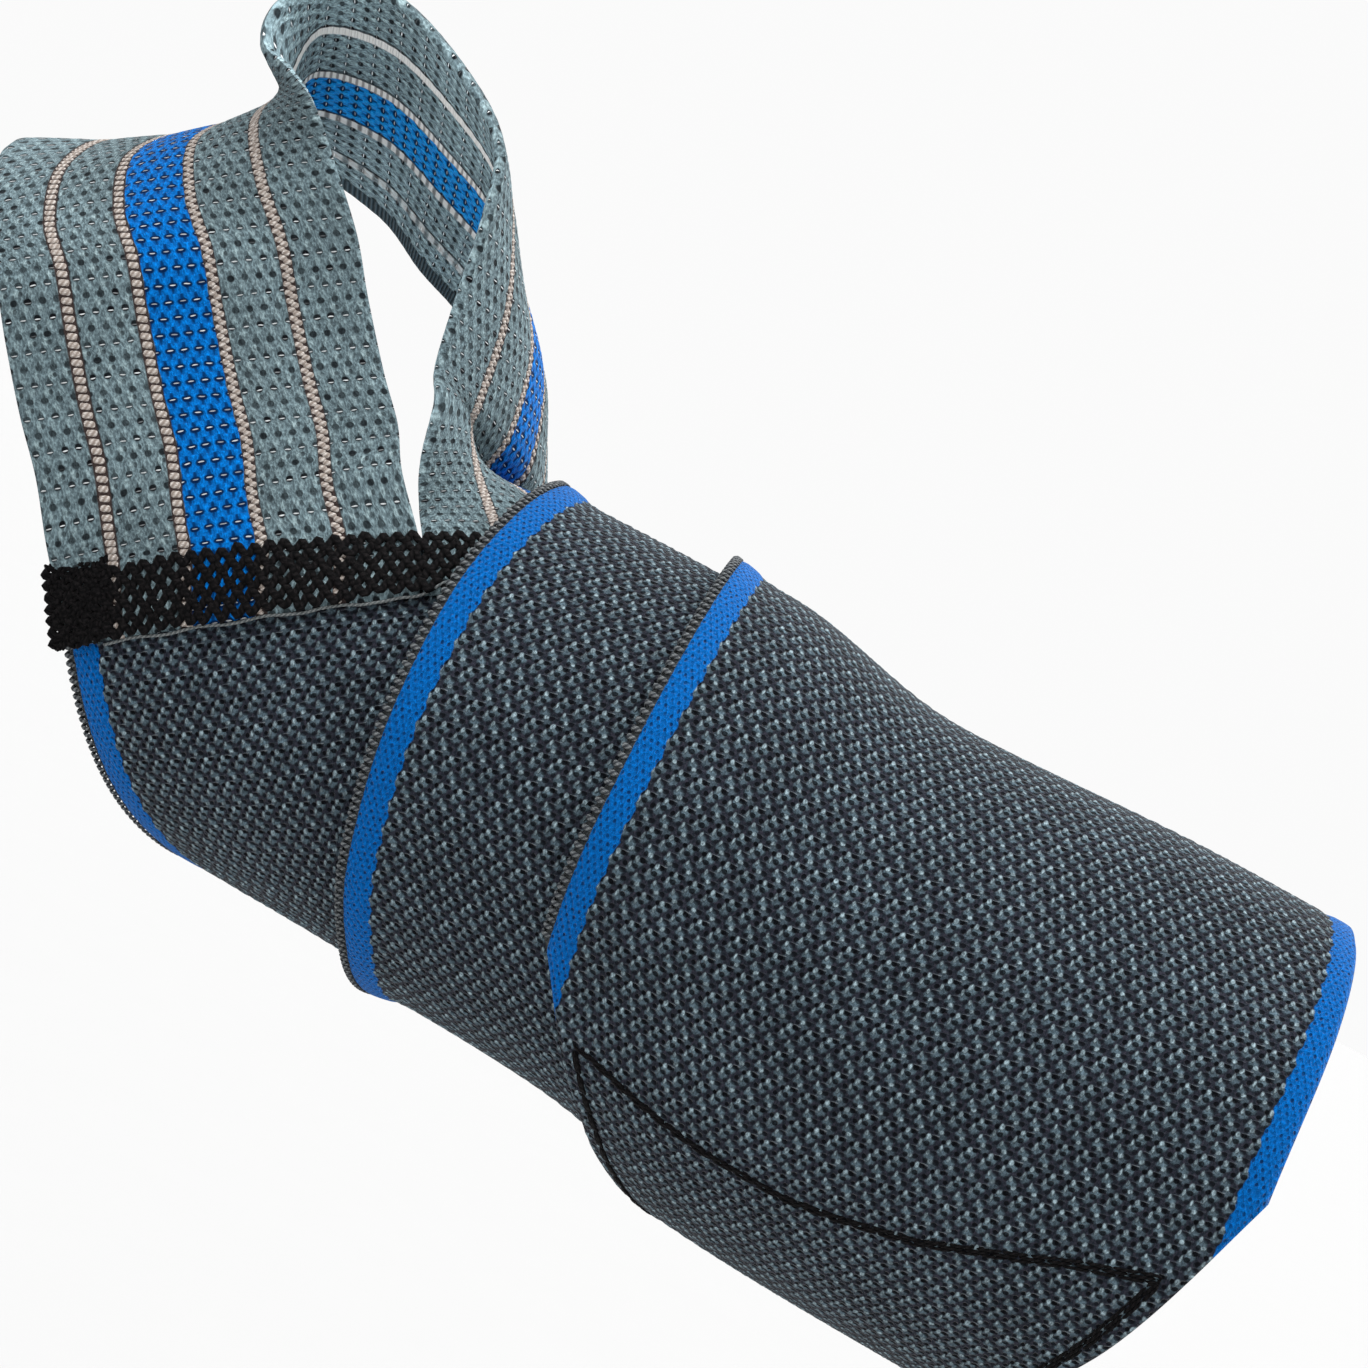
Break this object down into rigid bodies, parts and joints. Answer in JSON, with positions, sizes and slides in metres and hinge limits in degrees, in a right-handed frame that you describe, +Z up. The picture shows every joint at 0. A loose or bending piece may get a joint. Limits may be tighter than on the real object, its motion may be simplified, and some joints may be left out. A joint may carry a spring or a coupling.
{
  "type": "wrist wrap",
  "caption": "Elastic wrist wrap wound into an open sleeve, with a tapered closing tab and a striped thumb loop sewn to its first edge.",
  "frame": {"origin": "on the wrist's line, in the middle of the wound sleeve", "axes": "+X along the wrist towards the forearm, +Z up to the side where the thumb loop stands, -Y the side that the picture shows"},
  "size_m": [0.172, 0.0571, 0.1046],
  "materials": {
    "band_elastic": "dark slate-grey woven elastic with a blue stripe and grey overlock along its edges",
    "strap_elastic": "grey-green woven elastic with a blue centre stripe between pale ladder stitches",
    "hook_tape": "black hook tape"
  },
  "bodies": {
    "root": {"wrap_band": "band_elastic", "thumb_loop": "strap_elastic", "hook_patch": "hook_tape"}
  },
  "joints": []
}
